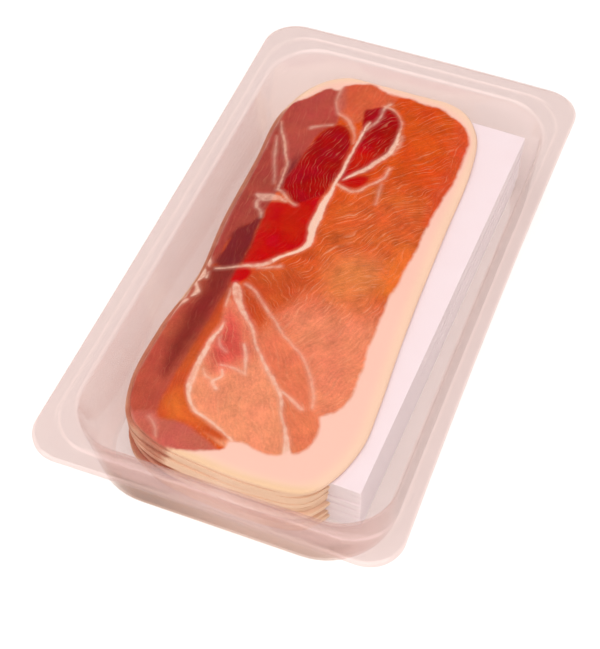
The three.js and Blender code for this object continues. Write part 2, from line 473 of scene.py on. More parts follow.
@dataclass(frozen=True)
class CuredHam:
    """Cut face of dry-cured ham: moist lean with fibres and marbling, between seams of waxy fat.

    The piece carries what the map of the ham works out: lean and fat_tone are colours, fat holds the
    depth inside the fat cover, the depth inside a seam and that seam's strength, and grain holds the
    place along and across the fibres and how marbled the lean is.
    """

    name: str
    thread: str = "F0AC84"  # thin fat within the muscle, seen through a little lean
    thread_share: float = 0.5
    moist: float = 0.42
    waxy: float = 0.5
    seam_ragged: float = 0.22  # how far a seam's edge wanders, in millimetres
    seam_soft: float = 0.6  # half the width over which its edge shows through the lean
    halo: float = 0.16  # how much fat shows in the lean close to a seam
    halo_width: float = 2.0
    cover_ragged: float = 0.35
    cover_soft: float = 1.1
    gleam: float = 0.06  # specular level of the moist face
    cloud_size: float = 7.0
    bundle: float = 1.3  # width of a bundle of fibres
    bundle_length: float = 8.0
    grit_size: float = 0.9
    hue_size: float = 12.0
    wander_size: float = 2.4
    patch_size: float = 8.0  # how large the patches are in which threads show
    thread_stray: float = 2.2  # how many threads' spacings a thread strays from its line

    def material(self) -> bpy.types.Material:
        """Builds the node material.

        Returns:
            The material.
        """
        material, nodes = new_material(self.name)
        place = nodes.place()
        lean, tone = (
            nodes.add("Attribute", attribute_name=name).outputs["Color"] for name in ("lean", "fat_tone")
        )
        fat, fibre = (
            nodes.add("Attribute", attribute_name=name).outputs["Vector"] for name in ("fat", "grain")
        )
        cover_depth, seam_depth, strength = nodes.split(fat)
        marbling = nodes.split(fibre)[2]

        flesh = self._flesh(nodes, place, lean, fibre, marbling)
        wander = nodes.remap(nodes.noise(place, self.wander_size * MM, 3.5, 0.65), 0.25, 0.75, -1.0, 1.0)
        marbled = nodes.mix(self._threads(nodes, place, fibre), flesh, linear(self.thread))
        seam = self._edge(nodes, seam_depth, wander, self.seam_ragged, self.seam_soft)
        seam = self._thinned(nodes, place, seam, strength)
        halo = nodes.remap(seam_depth, -self.halo_width, 0.5, 0.0, self.halo, eased=True)
        seamed = nodes.mix(seam, nodes.mix(halo, marbled, tone), tone)
        cover = self._edge(nodes, cover_depth, wander, self.cover_ragged, self.cover_soft)

        waxed = nodes.maths("MAXIMUM", seam, cover)
        surface = nodes.add("BsdfPrincipled", {
            "Base Color": nodes.mix(cover, seamed, tone),
            "Roughness": nodes.remap(waxed, 0.0, 1.0, self.moist, self.waxy),
            "Specular IOR Level": self.gleam,
            "Normal": self._relief(nodes, fibre, place, waxed),
        })
        nodes.add("OutputMaterial", {"Surface": surface.outputs["BSDF"]})
        return material

    def _flesh(
        self, nodes: NodeMaker, place: Socket, lean: Socket, fibre: Socket, marbling: Socket,
    ) -> Socket:
        """Varies the lean's colour by cloudy patches, by bundles of fibres and by a fine grain."""
        bundles = self._drawn_out(nodes, fibre, self.bundle_length, self.bundle, 3.0, 0.6, moved=False)
        value: float | Socket = 1.0
        for lumps, share in (
            (nodes.noise(place, self.cloud_size * MM, 3.0, 0.55), nodes.remap(marbling, 0, 1, 0.3, 0.9)),
            (bundles, nodes.remap(marbling, 0, 1, 0.05, 0.7)),
            (nodes.noise(place, self.grit_size * MM, 2.0, 0.6), 0.4),
        ):
            value = nodes.maths("MULTIPLY_ADD", nodes.maths("SUBTRACT", lumps, 0.5), share, value)
        turned = nodes.noise(place, self.hue_size * MM, 3.0, 0.55)
        return nodes.add("HueSaturation", {
            "Color": lean, "Value": value, "Hue": nodes.remap(turned, 0.3, 0.7, 0.496, 0.503),
        }).outputs["Color"]

    def _edge(
        self, nodes: NodeMaker, depth: Socket, wander: Socket, ragged: float, soft: float,
    ) -> Socket:
        """Turns a depth inside fat into a mask with an edge that wanders."""
        moved = nodes.maths("MULTIPLY_ADD", wander, ragged, depth)
        return nodes.remap(moved, -0.8 * soft, 1.2 * soft, eased=True)

    def _thinned(self, nodes: NodeMaker, place: Socket, mask: Socket, strength: Socket) -> Socket:
        """Lets a seam come and go along its length, and a strong one less than a weak one."""
        thinned = nodes.remap(nodes.noise(place, 3.0 * MM, 2.0), 0.3, 0.62, 0.45, 1.05)
        steady = nodes.maths("MULTIPLY_ADD", strength, 2.0, -1.0)
        held = nodes.maths("MULTIPLY", strength, nodes.maths("MAXIMUM", thinned, steady), clamped=True)
        return nodes.maths("MULTIPLY", mask, held)

    def _threads(self, nodes: NodeMaker, place: Socket, fibre: Socket) -> Socket:
        """Fine pale threads of fat that run with the fibres and come and go in patches."""
        _, across, marbling = nodes.split(fibre)
        threads: float | Socket = 0.0
        for length, apart, width in ((40.0, 2.8, 0.13), (20.0, 1.5, 0.17)):  # millimetres, then a share
            strayed = self._drawn_out(nodes, fibre, length, 2.5 * apart)
            step = nodes.maths("MULTIPLY", across, 1 / apart)
            phase = nodes.maths("MULTIPLY_ADD", strayed, self.thread_stray, step)
            thread = nodes.remap(nodes.maths("PINGPONG", phase, 0.5), width, 0.0, eased=True)
            whole = nodes.remap(self._drawn_out(nodes, fibre, length / 2, apart), 0.42, 0.64, eased=True)
            threads = nodes.maths("MAXIMUM", nodes.maths("MULTIPLY", thread, whole), threads)
        patches = nodes.noise(place, self.patch_size * MM, 3.0, 0.6)
        for part in (nodes.remap(patches, 0.38, 0.6, 0.25, 1.0, eased=True), self.thread_share, marbling):
            threads = nodes.maths("MULTIPLY", threads, part)
        return threads

    def _drawn_out(
        self, nodes: NodeMaker, fibre: Socket, length: float, width: float, detail: float = 2.0,
        roughness: float = 0.5, moved: bool = True,
    ) -> Socket:
        """Noise drawn out along the fibres, with lumps of a length and a width in millimetres."""
        drawn = nodes.add("Mapping", {
            "Vector": fibre, "Scale": (1 / length, 1 / width, 0.0),
            "Location": (width, length, 0.0) if moved else (0.0, 0.0, 0.0),
        }).outputs["Vector"]
        return nodes.noise(drawn, 1.0, detail, roughness)

    def _relief(self, nodes: NodeMaker, fibre: Socket, place: Socket, waxed: Socket) -> Socket:
        """The cut's fine relief: fibres stand up in the lean, and the fat is smeared smooth."""
        fibres = self._drawn_out(nodes, fibre, 6.0, 0.8, 3.0, moved=False)
        smear = nodes.noise(place, 4.0 * MM, 2.0)
        height = nodes.add("Mix", {"Factor": waxed, "A": fibres, "B": smear}).outputs["Result"]
        return nodes.relief(height, 0.12, 0.7)


# ---- the tray and its film -------------------------------------------------------------------------


@dataclass
class Tray:
    """Thermoformed tray: flange with a pressed ring, drafted walls, round base corners."""

    flange_width: float = 160
    flange_length: float = 280
    flange_corner: float = 16
    height: float = 42
    gauge: float = 0.9
    side_land: float = 10.4
    end_land: float = 13
    cavity_corner: float = 24
    wall_draft: float = 2.6
    base_corner_gain: float = 9.0  # the corners are rounder at the base than at the rim
    lip_radius: float = 2.2
    base_fillet: float = 5.5
    bead_offset: float = 3.6
    bead_width: float = 1.8
    bead_depth: float = 0.5
    skirt_width: float = 1.1
    skirt_drop: float = 0.8
    bow_left: float = 0.8
    bow_right: float = 1.9
    bow_near: float = 1.0
    bow_far: float = -1.1
    corner_steps: int = 14
    side_steps: int = 22
    round_steps: int = 8
    # the near wall's foot carries painted shade, a darker tint under the flange
    finish: ClearSheet = ClearSheet("clear_polyester_tray", tint="F8EEEC", haze=0.1, foot_shade="C8AA92")

    def ring(self, inset_x: float, inset_y: float, radius: float, z: float, bow: float) -> Ring:
        """Points of a rectangle with round corners, inset from the flange's outline.

        Args:
            inset_x: Inset of the long sides.
            inset_y: Inset of the short sides.
            radius: Corner radius.
            z: Height of the ring.
            bow: How much of the flange's bend the ring follows.

        Returns:
            The ring's points, counterclockwise from above.
        """
        half = np.array([self.flange_width / 2 - inset_x, self.flange_length / 2 - inset_y])
        angles = np.linspace(0, math.pi / 2, self.corner_steps + 1)
        arcs = []
        for quarter, sign in enumerate(((1, 1), (-1, 1), (-1, -1), (1, -1))):
            turned = angles + quarter * math.pi / 2
            centre = np.array(sign) * (half - radius)
            arcs.append(centre + radius * np.stack([np.cos(turned), np.sin(turned)], 1))
        shares = np.linspace(0, 1, self.side_steps + 2)[1:-1, None]
        flat = np.vstack([
            part
            for arc, following in zip(arcs, arcs[1:] + arcs[:1])
            for part in (arc, arc[-1] + (following[0] - arc[-1]) * shares)
        ])
        x, y = flat[:, 0].copy(), flat[:, 1].copy()
        arch_x = 1 - (y / (self.flange_length / 2)) ** 2
        arch_y = 1 - (x / (self.flange_width / 2)) ** 2
        bend_x = np.where(x > 0, self.bow_right, -self.bow_left) * np.minimum(1, np.abs(x) / half[0])
        bend_y = np.where(y > 0, self.bow_far, -self.bow_near) * np.minimum(1, np.abs(y) / half[1])
        placed = np.stack([x - bow * arch_x * bend_x, y - bow * arch_y * bend_y], 1) + CENTRING
        return np.column_stack([placed, np.full(len(placed), z)])

    def wall_ring(self, z: float, outward: float, extra: float = 0.0) -> Ring:
        """A ring on the cavity's wall at height z, moved outward by a part of the gauge."""
        depth = 1 - z / self.height
        inset = self.wall_draft * depth + extra - outward
        radius = self.cavity_corner + self.base_corner_gain * depth - inset * 0.5
        return self.ring(self.side_land + inset, self.end_land + inset, radius, z, 0.25)

    def base_rings(self, floor: float, radius: float, outward: float) -> list[Ring]:
        """Rings round the base's corner, from the flat base up to the wall."""
        angles = np.linspace(0, math.pi / 2, self.round_steps + 1)
        return [
            self.wall_ring(floor + radius * (1 - math.cos(a)), outward, radius * (1 - math.sin(a)))
            for a in angles
        ]

    def lip_rings(self, top: float, radius: float, outward: float) -> list[Ring]:
        """Rings round the rim, from the wall up and out on to the flange."""
        angles = np.linspace(0, math.pi / 2, self.round_steps + 1)
        return [
            self.wall_ring(top - radius * (1 - math.sin(a)), outward + radius * (1 - math.cos(a)))
            for a in angles
        ]

    def flange_ring(self, distance: float, z: float) -> Ring:
        """A ring on the flange, at a distance out from the cavity's rim."""
        across = distance / self.side_land
        radius = self.cavity_corner + (self.flange_corner - self.cavity_corner) * across
        bow = 0.25 + 0.75 * across
        return self.ring(self.side_land * (1 - across), self.end_land * (1 - across), radius, z, bow)

    def flange_rings(self, drop: float) -> list[Ring]:
        """Rings from the rim to the flange's edge, through the pressed ring and down the skirt."""
        z = self.height - drop
        shares = np.linspace(0, 1, self.round_steps + 1)
        bead = [
            self.flange_ring(
                self.bead_offset + self.bead_width * share,
                z - self.bead_depth * 0.5 * (1 - math.cos(2 * math.pi * share)),
            )
            for share in shares
        ]
        skirt = [
            self.flange_ring(
                self.side_land - self.skirt_width * (1 - math.sin(share * math.pi / 2)),
                z - self.skirt_drop * (1 - math.cos(share * math.pi / 2)),
            )
            for share in shares
        ]
        return bead + skirt

    def build(self) -> bpy.types.Object:
        """Models the tray.

        Returns:
            The tray's piece.
        """
        gauge = self.gauge
        inside = [
            *self.base_rings(gauge, self.base_fillet - gauge, -gauge),
            *self.lip_rings(self.height, self.lip_radius, -gauge),
            *self.flange_rings(0),
        ]
        outside = [
            *self.base_rings(0, self.base_fillet, 0),
            *self.lip_rings(self.height - gauge, self.lip_radius - gauge / 2, 0),
            *self.flange_rings(gauge),
        ]
        skin = draw_skin([*inside, *reversed(outside)])
        return finish_piece(skin, "tray_shell", self.finish.material(), ["tray"])


@dataclass
class LidFilm:
    """Clear lidding film, sealed all round the flange and drawn tight over the cavity."""

    tray: Tray
    gauge: float = 0.3
    margin: float = 0.8
    rest_gap: float = 0.3
    slack: float = 0.18  # how far the film dips between the walls
    ring_shares: tuple[float, ...] = (0.96, 0.9, 0.82, 0.72, 0.6, 0.46, 0.3, 0.15)
    finish: ClearSheet = ClearSheet(
        "clear_lidding_film", tint="FFFEFE", roughness=0.06, ior=1.42, ripple=30.0, ripple_depth=0.12,
    )

    def build(self) -> bpy.types.Object:
        """Models the film.

        Returns:
            The film's piece.
        """
        underside = self.tray.height + self.rest_gap
        edge = self.tray.flange_ring(self.tray.side_land - self.margin, underside)
        rim = self.tray.flange_ring(0.4, underside)
        middle = edge.mean(0)
        lower = [edge, rim]
        for share in self.ring_shares:
            ring = middle + (rim - middle) * share
            ring[:, 2] = underside - self.slack * (1 - share ** 2)
            lower.append(ring)
        lift = np.array([0.0, 0.0, self.gauge])
        skin = draw_skin([*reversed([ring + lift for ring in lower]), *lower])
        return finish_piece(skin, "lid_film_skin", self.finish.material(), ["lid_film"])


# ---- the ham: where its muscles, seams and fat lie --------------------------------------------------


class Lean(Enum):
    """Colours of the muscles, as sRGB hex. Most darken with how much pigment the muscle holds; russet is
    the darker band along the left flank, where the slice slopes down.
    """

    RUMP = "CC4A12"
    RUMP_EDGE = "D04C24"
    ORANGE = "CA5826"
    TAN = "D87640"
    SALMON = "DF7F5C"
    SALMON_DEEP = "DA7450"
    LOBE = "E28A64"
    ROSE = "CE4E44"
    EMBER = "C24C22"
    AMBER = "DE6A2A"
    KNOB = "CE5A38"
    CRIMSON = "9E0204"
    SCARLET = "BA1002"
    BRICK = "AE453A"
    TERRACOTTA = "A03E34"
    WINE = "761C20"
    # the darker band along the left flank, where the slice slopes down
    RUSSET = "80261E"
    RUSSET_PALE = "B24C38"
    CLAY = "BE5C4C"


class Fat(Enum):
    """Colours of the fat and of the ham's outer side, as sRGB hex."""

    SEAM = "EFC4AE"
    COVER = "F3C2B0"
    COVER_EDGE = "F2CBB0"
    GREASE = "EAC29A"  # yellowed where it met the air, at the near end
    RIND = "E6BEA0"
    CRUST = "B67A60"  # dried lean on the outer side


@dataclass(frozen=True)
class Muscle:
    """One muscle of the ham as the cut shows it.

    heading is the way that its fibres run, in degrees from +X, and bend the radius that they curve
    round, or 0 where they run straight. soft is the width over which its colour fades in.
    """

    lean: Lean
    outline: tuple[tuple[float, float], ...]
    heading: float = 90.0
    bend: float = 0.0
    marbling: float = 0.3
    soft: float = 1.0


@dataclass(frozen=True)
class Seam:
    """A seam of fat or skin between muscles: places and widths along it, and how white it shows."""

    path: tuple[tuple[float, float, float], ...]
    strength: float = 1.0


# The ham's outline, as the slicer left it, and the edge of its lean inside the cover of fat.
SLICE_OUTLINE = (
    (46.8, -82), (46.6, -60), (44.6, -30), (43.2, 0), (42.2, 40), (41.2, 85),
    (36.8, 108), (26.5, 120.5), (8, 125.3), (-20, 125.4), (-47.5, 119.5),
    (-58, 96), (-57.2, 60), (-56.6, 20), (-54.2, -15), (-57.5, -50), (-57, -82),
    (-49.5, -100), (-34, -110), (-12, -113.6), (12, -114.6), (33, -111.3), (41, -101.5),
)
LEAN_OUTLINE = (
    (34, 103), (30, 110), (23, 115), (14, 118), (4, 118.6), (-1, 120.2), (-6, 119.8), (-10, 119.2),
    (-13, 119), (-15.5, 119.6), (-18.5, 121), (-22, 122), (-28, 120.4), (-34, 116.6), (-36.5, 112.6),
    (-41.5, 114.2), (-47, 110), (-51, 106), (-55, 103), (-59, 99), (-61, 90), (-61, 70), (-61, 45),
    (-61, 20), (-60, 5), (-58, -10), (-56, -17), (-56, -27), (-59, -38), (-62, -50),
    (-62, -70), (-61, -86), (-56, -97), (-49, -104), (-41, -109.5), (-33, -112.5), (-26, -111),
    (-21, -110.6), (-17, -109.2), (-13, -107.2), (-6.5, -103.8), (-5.5, -99.8), (0, -98.3),
    (6, -99.4), (12, -99.8), (17.3, -98), (19.6, -95.2), (22, -96), (25.2, -92.5), (27, -87),
    (26.6, -80), (25.3, -74.8), (28, -72.3), (32, -67), (34, -60), (33.5, -50), (32.3, -38),
    (31.4, -20), (31.4, 0), (32.3, 20), (33.3, 35), (33.5, 45), (34, 57), (35.5, 68), (36.2, 80),
    (35.4, 93),
)

MUSCLES = (
    Muscle(Lean.ORANGE, (
        (36, 50), (36, -30), (10, -30), (-10, -14), (-12, 10), (-8, 40), (10, 60),
    ), heading=62, bend=120, marbling=1.0, soft=12),
    Muscle(Lean.SALMON, (
        (40, -14), (40, -84), (18, -80), (0, -52), (-14, -34), (-12, -24), (4, -16), (22, -16),
    ), heading=66, bend=-150, marbling=0.6, soft=13),
    Muscle(Lean.RUMP_EDGE, (
        (26, 114), (39, 104), (41, 60), (36, 42), (30, 56), (30, 92),
    ), heading=84, marbling=0.5, soft=4),
    Muscle(Lean.TAN, (
        (4, 12), (20, 16), (26, 4), (18, -14), (6, -12), (0, 0),
    ), heading=40, bend=100, marbling=0.7, soft=6),
    Muscle(Lean.AMBER, (
        (27, 28), (33, 26), (33, -2), (28, -6), (25, 10),
    ), heading=80, marbling=0.5, soft=3),
    Muscle(Lean.EMBER, (
        (-34, -11), (-28, -9), (-18, -3), (-9, -6), (-9, -22), (-14, -29), (-24, -23), (-32, -20),
    ), heading=-35, marbling=0.5, soft=3),
    Muscle(Lean.SALMON_DEEP, (
        (-28, -23), (-15, -32), (0, -42), (12, -55), (20, -72), (27, -77), (29, -90), (22, -99),
        (17, -91), (10, -78), (2, -66), (-12, -52), (-22, -38),
    ), heading=-52, marbling=0.5, soft=1.2),
    Muscle(Lean.EMBER, (
        (-33, -22), (-24, -24), (-14, -32), (-16, -42), (-26, -36),
    ), heading=-52, marbling=0.4, soft=3),
    Muscle(Lean.LOBE, (
        (-35, -30), (-28, -34), (-20, -41), (-12, -53), (-2, -62), (6, -72), (13, -85), (19, -100),
        (8, -103), (-6, -103), (-18, -98.5), (-27, -91), (-31, -82), (-33, -72), (-33, -60), (-35, -45),
    ), heading=-64, marbling=0.55, soft=1.2),
    Muscle(Lean.ROSE, (
        (-33, -33), (-26, -37), (-19, -47), (-14, -57), (-19, -63), (-25, -67), (-31, -62), (-33, -48),
    ), heading=-58, marbling=0.6, soft=6),
    Muscle(Lean.EMBER, (
        (-40, -20), (-36, -21), (-34.5, -32), (-33.5, -45), (-35, -56), (-35, -70), (-33, -82),
        (-28, -90), (-18, -95), (-6, -98.5), (-10, -100.6), (-24, -98.8), (-43, -98), (-42, -80),
        (-41, -60), (-40, -40),
    ), heading=96, marbling=0.2, soft=1.6),
    Muscle(Lean.AMBER, (
        (-35, -83), (-29, -91), (-19, -95.5), (-22, -98), (-31, -97), (-37, -90),
    ), heading=-20, marbling=0.05, soft=4),
    Muscle(Lean.KNOB, (
        (-37, 112), (-34, 120), (-26, 126), (-16, 124), (-8, 120), (-9, 112), (-15, 104), (-17, 98),
        (-20, 94), (-25, 96), (-31, 98), (-34, 104),
    ), heading=80, marbling=0.3, soft=1.2),
    Muscle(Lean.CLAY, (
        (-37, 112), (-34, 117), (-32, 110), (-29, 102), (-31, 97.5), (-34, 104),
    ), heading=80, marbling=0.3, soft=2.5),
    Muscle(Lean.BRICK, (
        (-62, 106), (-48, 108), (-40, 118), (-36.5, 113), (-34.5, 105), (-31, 98), (-29, 91),
        (-32, 86), (-35, 78), (-36, 66), (-37, 55), (-38, 44), (-40, 40), (-41, 55), (-45, 64),
        (-50, 75), (-56, 87), (-62, 92),
    ), heading=100, marbling=0.2, soft=1.0),
    Muscle(Lean.WINE, (
        (-41, 60), (-38, 64), (-37, 54), (-38, 44), (-40, 41), (-41, 50),
    ), heading=100, marbling=0.1, soft=4),
    Muscle(Lean.TERRACOTTA, (
        (-62, 90), (-55, 86), (-50, 74), (-45, 63.5), (-41.5, 54), (-40, 40), (-41, 22), (-47, 14),
        (-51, 2), (-50, -10), (-62, -8),
    ), heading=96, marbling=0.3, soft=0.9),
    Muscle(Lean.CRIMSON, (
        (-30, 89), (-26, 90.5), (-21.5, 88), (-18, 80), (-16.5, 70), (-16.2, 60), (-17, 50), (-18.5, 42),
        (-23, 37.5), (-28, 33.6), (-33, 37.5), (-39.5, 41.5), (-38, 52), (-36.5, 64), (-35.5, 74),
        (-33.5, 82),
    ), heading=86, bend=60, marbling=0.42, soft=1.4),
    Muscle(Lean.CRIMSON, (
        (-12, 109.5), (-7, 109), (-3, 106), (0.3, 101.5), (1.6, 95), (1.8, 88), (1.2, 82), (-1, 76),
        (-4, 70), (-7.5, 64), (-11, 58.5), (-14, 54), (-15, 60), (-15, 70), (-14.8, 80), (-15.5, 90),
        (-18, 99), (-19, 104), (-16, 106.5),
    ), heading=74, bend=90, marbling=0.5, soft=0.9),
    Muscle(Lean.SCARLET, (
        (-14, 80), (-8, 82), (-2, 78), (-4, 70), (-8, 64), (-13, 56), (-15, 62),
    ), heading=74, marbling=0.4, soft=4),
    Muscle(Lean.SCARLET, (
        (-13, 53), (-8, 51.2), (-4, 53), (-1.5, 57), (-2.5, 62), (-7, 60.5), (-11, 57.5),
    ), heading=30, marbling=0.2, soft=1.6),
    Muscle(Lean.SCARLET, (
        (-40, 32), (-36, 33.3), (-30, 33.4), (-27.5, 34.5), (-23.5, 38.5), (-19, 42), (-18, 34),
        (-17, 22), (-15, 12), (-20, 5), (-25, -1.5), (-30, -6.5), (-36.5, -9), (-38.2, -2), (-38.6, 8),
        (-39.4, 20),
    ), heading=70, marbling=0.08, soft=1.1),
    Muscle(Lean.WINE, (
        (-40.5, 24), (-39, 12), (-38.2, 2), (-38, -9), (-47, -11.5), (-51, -8), (-50, 3), (-49.5, 12),
        (-45, 17),
    ), heading=98, marbling=0.15, soft=1.6),
    Muscle(Lean.RUSSET_PALE, (
        (-62, -11), (-46, -12), (-38.5, -10.5), (-38, -22), (-39, -40), (-40, -60), (-41, -80),
        (-42, -99), (-62, -92),
    ), heading=94, marbling=0.2, soft=1.2),
    # the darker band along the left flank, where the slice slopes down
    Muscle(Lean.RUSSET, (
        (-51, -12), (-38.4, -11), (-38, -22), (-39, -42), (-40.4, -56), (-42, -66), (-45, -76),
        (-49, -68),
        (-51, -44), (-50, -26),
    ), heading=94, marbling=0.15, soft=4.6),
    Muscle(Lean.CLAY, (
        (-41, -96), (-38, -98.6), (-30, -98.4), (-24, -99.4), (-10, -104), (-4, -109), (-24, -116),
        (-46, -116), (-58, -104), (-50, -98),
    ), heading=94, marbling=0.3, soft=1.4),
    Muscle(Lean.SCARLET, (
        (-38.2, -10.5), (-33, -10.5), (-31.5, -13), (-33, -18), (-36.5, -21),
    ), heading=90, marbling=0.0, soft=1.2),
)

SEAMS = (
    Seam((  # between the crimson muscles and the rump, then round under the bright red one
        (-14, 97, 0.8), (-14.6, 90, 1.4), (-15, 80, 1.2), (-15.2, 70, 1.4), (-15.3, 60, 1.6),
        (-15.4, 50, 1.6), (-15.8, 42, 2.8), (-16, 34, 3.9), (-15.6, 26, 4.0), (-14.5, 18, 3.2),
        (-14, 12, 2.6), (-16, 7.5, 2.0), (-20, 3, 1.6), (-25, -2.5, 1.8),
    )),
    Seam(((-25, -2.5, 1.8), (-30, -7, 2.0), (-35, -9.3, 1.6), (-41, -11, 1.1), (-49, -12.6, 0.9)), 0.65),
    Seam((
        (-11, 110.5, 1.6), (-7, 109.3, 1.2), (-3, 106.3, 0.9), (0.6, 101.8, 0.9), (2.0, 95, 1.4),
    ), 0.5),
    Seam((
        (2.0, 95, 1.4), (2.4, 88, 2.6), (1.6, 82, 2.8), (-0.6, 76, 2.0), (-3.6, 70, 2.2), (-7, 64.3, 2.2),
        (-10.5, 59.4, 1.6), (-12.7, 56, 0.8),
    ), 0.9),
    Seam((
        (-14.4, 52.3, 1.6), (-10, 50.6, 1.5), (-6, 50.2, 1.5), (-3, 52, 1.3), (-0.8, 55.5, 1.0),
        (1.5, 59, 1.2), (3.6, 63, 1.9), (4.8, 67, 1.6), (4.4, 72, 0.8),
    ), 0.5),
    Seam(((3.8, 93, 2.2), (4.2, 87, 2.2), (3.2, 81, 1.0)), 0.2),
    Seam(((5.0, 60, 0.8), (5.6, 54, 1.0), (6.4, 47, 0.6)), 0.25),
    Seam((
        (-9.5, 113, 1.8), (-10.6, 109, 1.4), (-10.4, 104, 1.2), (-11.3, 99, 1.3), (-13, 94, 1.4),
        (-15, 89.5, 1.6),
    ), 0.45),
    Seam((
        (-57, 88, 0.6), (-53, 80.5, 1.1), (-50, 74.5, 1.3), (-47.5, 69, 1.3), (-45, 63.5, 1.2),
        (-42.3, 59, 1.2), (-41.3, 52, 1.0), (-40.5, 46, 1.1), (-39.8, 41, 1.3),
    ), 0.6),
    Seam(((-54.5, 77, 0.7), (-52, 68, 1.3), (-49, 60, 1.0), (-46, 52, 0.7), (-43.5, 45, 0.5)), 0.35),
    Seam((
        (-40.2, 41.5, 1.5), (-36.5, 39.3, 1.3), (-33.5, 36.3, 1.4), (-30.5, 34.2, 1.2), (-28, 33.2, 1.6),
    ), 0.4),
    Seam(
        ((-49, 36.6, 1.5), (-45, 35.3, 4.6), (-40.5, 35.8, 4.2), (-36, 35.2, 2.2), (-33, 34.3, 1.2)),
        0.5,
    ),
    Seam(((-46.5, 33, 2.2), (-45.5, 29, 1.8), (-43.5, 27, 1.0), (-42, 24.5, 1.5), (-41, 22, 1.0)), 0.45),
    Seam((
        (-35.5, 114, 0.9), (-34.8, 107, 0.8), (-33, 101, 1.0), (-30.5, 97.5, 1.3), (-27, 96, 1.8),
        (-23.5, 93.6, 2.2), (-20.5, 90, 2.0), (-18, 86, 1.1), (-16.8, 81, 0.8),
    ), 0.28),
    Seam(((-39.5, 85, 2.4), (-35.5, 87, 1.2), (-30.5, 89.3, 1.0)), 0.35),
    Seam((
        (-35.5, -20.5, 1.6), (-34, -23, 3.6), (-32.3, -26.5, 4.2), (-29.8, -30, 3.2),
        (-27, -33.4, 2.4), (-23.5, -37, 1.6), (-19.5, -41.5, 1.3), (-15.5, -46.5, 1.2), (-12, -52, 1.3),
        (-8, -56.5, 1.5), (-4, -60.5, 1.7), (0, -64.5, 1.8), (3.5, -68, 1.8), (6.5, -72.5, 1.7),
        (9.3, -77.5, 1.5), (12, -82.5, 1.3), (15.2, -87.5, 2.0), (17.6, -92.5, 2.8), (19.2, -98, 3.6),
    ), 0.7),
    Seam((
        (-31.8, -43, 0.8), (-31.6, -49, 1.4), (-32.8, -55, 2.2), (-33.2, -61, 2.6), (-33, -68, 2.8),
        (-32.6, -74, 3.0), (-31.6, -79.5, 3.0), (-29.5, -84.5, 2.0), (-26.5, -88.5, 1.5),
        (-23, -91.3, 1.8), (-18, -93, 1.4), (-13, -94.8, 1.2), (-8, -97.2, 1.0), (-4, -98.6, 1.0),
    ), 0.8),
    Seam(((-36.3, -24, 0.8), (-35.3, -29, 1.0), (-34, -34, 0.6)), 0.45),
    Seam((
        (-31, -20, 1.4), (-26, -21.5, 1.4), (-21.5, -25.5, 1.2), (-16, -30, 1.6), (-11, -34.5, 1.1),
        (-6, -38.5, 1.2), (-1, -42, 1.0), (4, -46, 1.0), (9, -50.5, 0.9), (13, -55, 0.9),
        (16.5, -60.5, 1.0), (19, -66, 1.0), (21, -72, 0.9),
    ), 0.4),
    Seam(((3.5, -67.5, 1.0), (8, -70, 1.2), (12.5, -71.8, 1.8), (17, -74, 1.2)), 0.6),
    Seam(((-30, -51, 0.8), (-27.5, -56, 1.2), (-24.5, -57.5, 0.8)), 0.25),
    Seam(((-18.5, -51, 1.0), (-16, -56, 1.6), (-14, -60.5, 1.4), (-12, -65, 1.0)), 0.55),
    Seam(((-24, -64.5, 0.7), (-20, -64.5, 1.0), (-14.5, -65, 1.2), (-11.5, -65.5, 0.8)), 0.5),
    Seam(((-22.5, -67, 1.0), (-21, -71, 1.2), (-23.8, -74.5, 1.6), (-21, -77, 1.4)), 0.6),
    Seam(((-30, -69, 0.6), (-27, -72.5, 1.1), (-24, -73.5, 0.7)), 0.4),
    Seam(((-20, -4, 1.6), (-25, -6, 1.4), (-30, -8.5, 1.0)), 0.45),
    Seam((  # what is left of the cover of fat along the flank
        (-59, 103, 1.6), (-59, 88, 1.4), (-58, 70, 1.2), (-58, 45, 1.2), (-57.2, 20, 1.6),
        (-56, 3, 1.4),
    ), 0.3),
    # Where the flank's cover breaks up into specks.
    Seam(((-54.6, -6, 1.0), (-53.4, -9.5, 2.0), (-52.6, -12, 1.0)), 0.8),
    Seam(((-54.8, -13.5, 1.2), (-53.4, -17, 3.0), (-53.8, -20.5, 1.6)), 0.85),
    Seam(((-51.4, -15.5, 0.8), (-51.0, -18.5, 1.4)), 0.7),
    Seam(((-54.4, -22.5, 2.2), (-52.6, -25, 1.4), (-51.6, -28.5, 2.6), (-52.8, -31, 1.0)), 0.85),
    Seam(((-55.4, -27.5, 1.2), (-55.8, -31.5, 2.0)), 0.7),
    Seam(((-54.2, -33.5, 2.0), (-56, -38.5, 1.4), (-57.7, -46, 0.8)), 0.7),
    Seam((
        (-58.2, -48, 1.0), (-58.6, -62, 1.0), (-58.2, -80, 0.9), (-57, -90, 1.0), (-52.5, -98, 1.2),
        (-46.5, -104.5, 1.2), (-40, -110, 1.2), (-33, -113, 1.2), (-26, -112, 1.2),
    ), 0.3),
    Seam(((-42, -99, 0.7), (-37, -103, 0.8), (-34.5, -108, 0.6)), 0.3),
)


